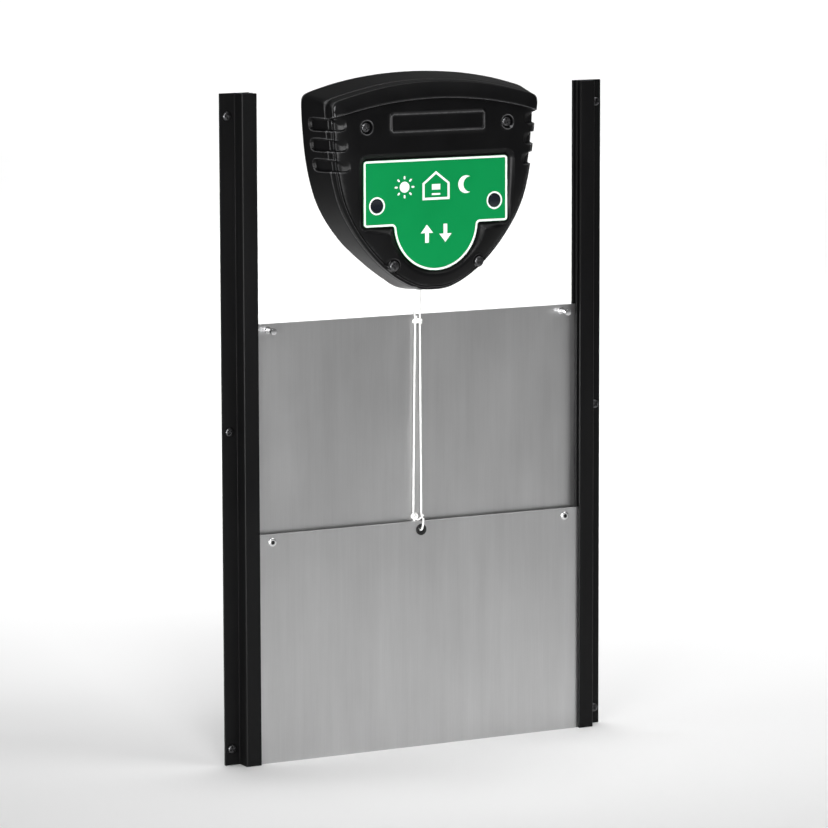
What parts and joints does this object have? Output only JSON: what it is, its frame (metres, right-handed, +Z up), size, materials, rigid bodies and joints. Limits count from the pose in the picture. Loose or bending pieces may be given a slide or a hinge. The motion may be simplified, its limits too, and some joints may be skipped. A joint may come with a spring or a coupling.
{
  "type": "automatic coop door",
  "caption": "Automatic poultry coop door: telescoping sheet leaves in black side rails, raised on a cord by a battery opener with a green label.",
  "frame": {"origin": "on the wall plane, at the centre of the rectangle of the four corner wall screws, midway between the rails", "axes": "+Z up along the rails, +Y into the wall along the screws, +X to the right as seen from the front"},
  "size_m": [0.31, 0.045, 0.4911],
  "materials": {
    "rail_black": "satin black finish on an extruded rail",
    "rail_plug": "moulded black plastic",
    "screw_black": "black coated steel",
    "sheet_aluminium": "mill finish sheet, fine grain",
    "pin_steel": "bright plated steel",
    "rivet_aluminium": "bright aluminium",
    "grommet_rubber": "black rubber",
    "seal_rubber": "black foam rubber",
    "cord_white": "braided white cord",
    "case_plastic": "satin moulded black plastic",
    "label_green": "printed plastic label with a white border",
    "label_white": "white print on the label",
    "window_dark": "dark translucent plastic",
    "board_green": "solder-resist green",
    "chip_black": "epoxy black",
    "sensor_clear": "clear epoxy",
    "switch_plastic": "black plastic",
    "tray_plastic": "black plastic",
    "cell_wrap": "plastic cell sleeve",
    "contact_steel": "nickel plated strip",
    "bracket_plastic": "glass filled plastic",
    "motor_steel": "plated steel can",
    "pinion_steel": "turned steel",
    "gear_nylon": "natural nylon",
    "bush_bronze": "sintered bronze",
    "bush_plastic": "black acetal"
  },
  "bodies": {
    "frame": {"rail_left": "rail_black", "rail_right": "rail_black", "rail_screws": "screw_black", "upper_leaf_rests": "rail_plug", "rear_case": "case_plastic", "cover_seal": "seal_rubber", "front_cover": "case_plastic", "cover_screws": "screw_black", "label_plate": "label_green", "sensor_lens": "window_dark", "circuit_board": "board_green", "board_chips": "chip_black", "light_sensor": "sensor_clear", "push_switch": "switch_plastic", "battery_tray": "tray_plastic", "batteries": "cell_wrap", "battery_contacts": "contact_steel", "motor_bracket": "bracket_plastic", "drive_motor": "motor_steel", "shaft_bushes": "bush_bronze", "cord_outlet_bush": "bush_plastic", "slack_switch": "switch_plastic", "inner_cord": "cord_white", "inner_screws": "pin_steel", "lift_cord": "cord_white"},
    "upper_leaf": {"upper_leaf": "sheet_aluminium", "stop_pins": "pin_steel", "loop_cord": "cord_white", "cord_knots": "cord_white"},
    "lower_leaf": {"lower_leaf": "sheet_aluminium", "leaf_rivets": "rivet_aluminium", "cord_grommet": "grommet_rubber"},
    "spool": {"spool": "gear_nylon", "spool_shaft": "pin_steel", "drive_gear": "gear_nylon", "spool_cord": "cord_white"},
    "pinion": {"motor_pinion": "pinion_steel"},
    "button": {"button_cap": "window_dark"}
  },
  "joints": [
    {"name": "upper_leaf_slide", "type": "slide", "parent": "frame", "child": "upper_leaf", "axis": [0, 0, 1], "range_m": [0, 0.015], "deforming": ["lift_cord"]},
    {"name": "lower_leaf_slide", "type": "slide", "parent": "upper_leaf", "child": "lower_leaf", "axis": [0, 0, 1], "range_m": [0, 0.1438], "deforming": ["loop_cord"]},
    {"name": "spool_spin", "type": "hinge", "parent": "frame", "child": "spool", "pos_m": [0.0015, -0.01215, 0.134], "axis": [1, 0, 0], "range_deg": [0, 3145]},
    {"name": "pinion_spin", "type": "hinge", "parent": "frame", "child": "pinion", "pos_m": [-0.0135, -0.01215, 0.1478], "axis": [1, 0, 0], "range_deg": [-4900, 0]},
    {"name": "button_press", "type": "slide", "parent": "frame", "child": "button", "axis": [0, 1, 0], "range_m": [0, 0.0008], "stiffness_N_per_m": 800}
  ],
  "couplings": [
    {"joint": "spool_spin", "follows": "lower_leaf_slide", "rad_per_m": 380.95},
    {"joint": "pinion_spin", "follows": "lower_leaf_slide", "rad_per_m": -592.59}
  ]
}
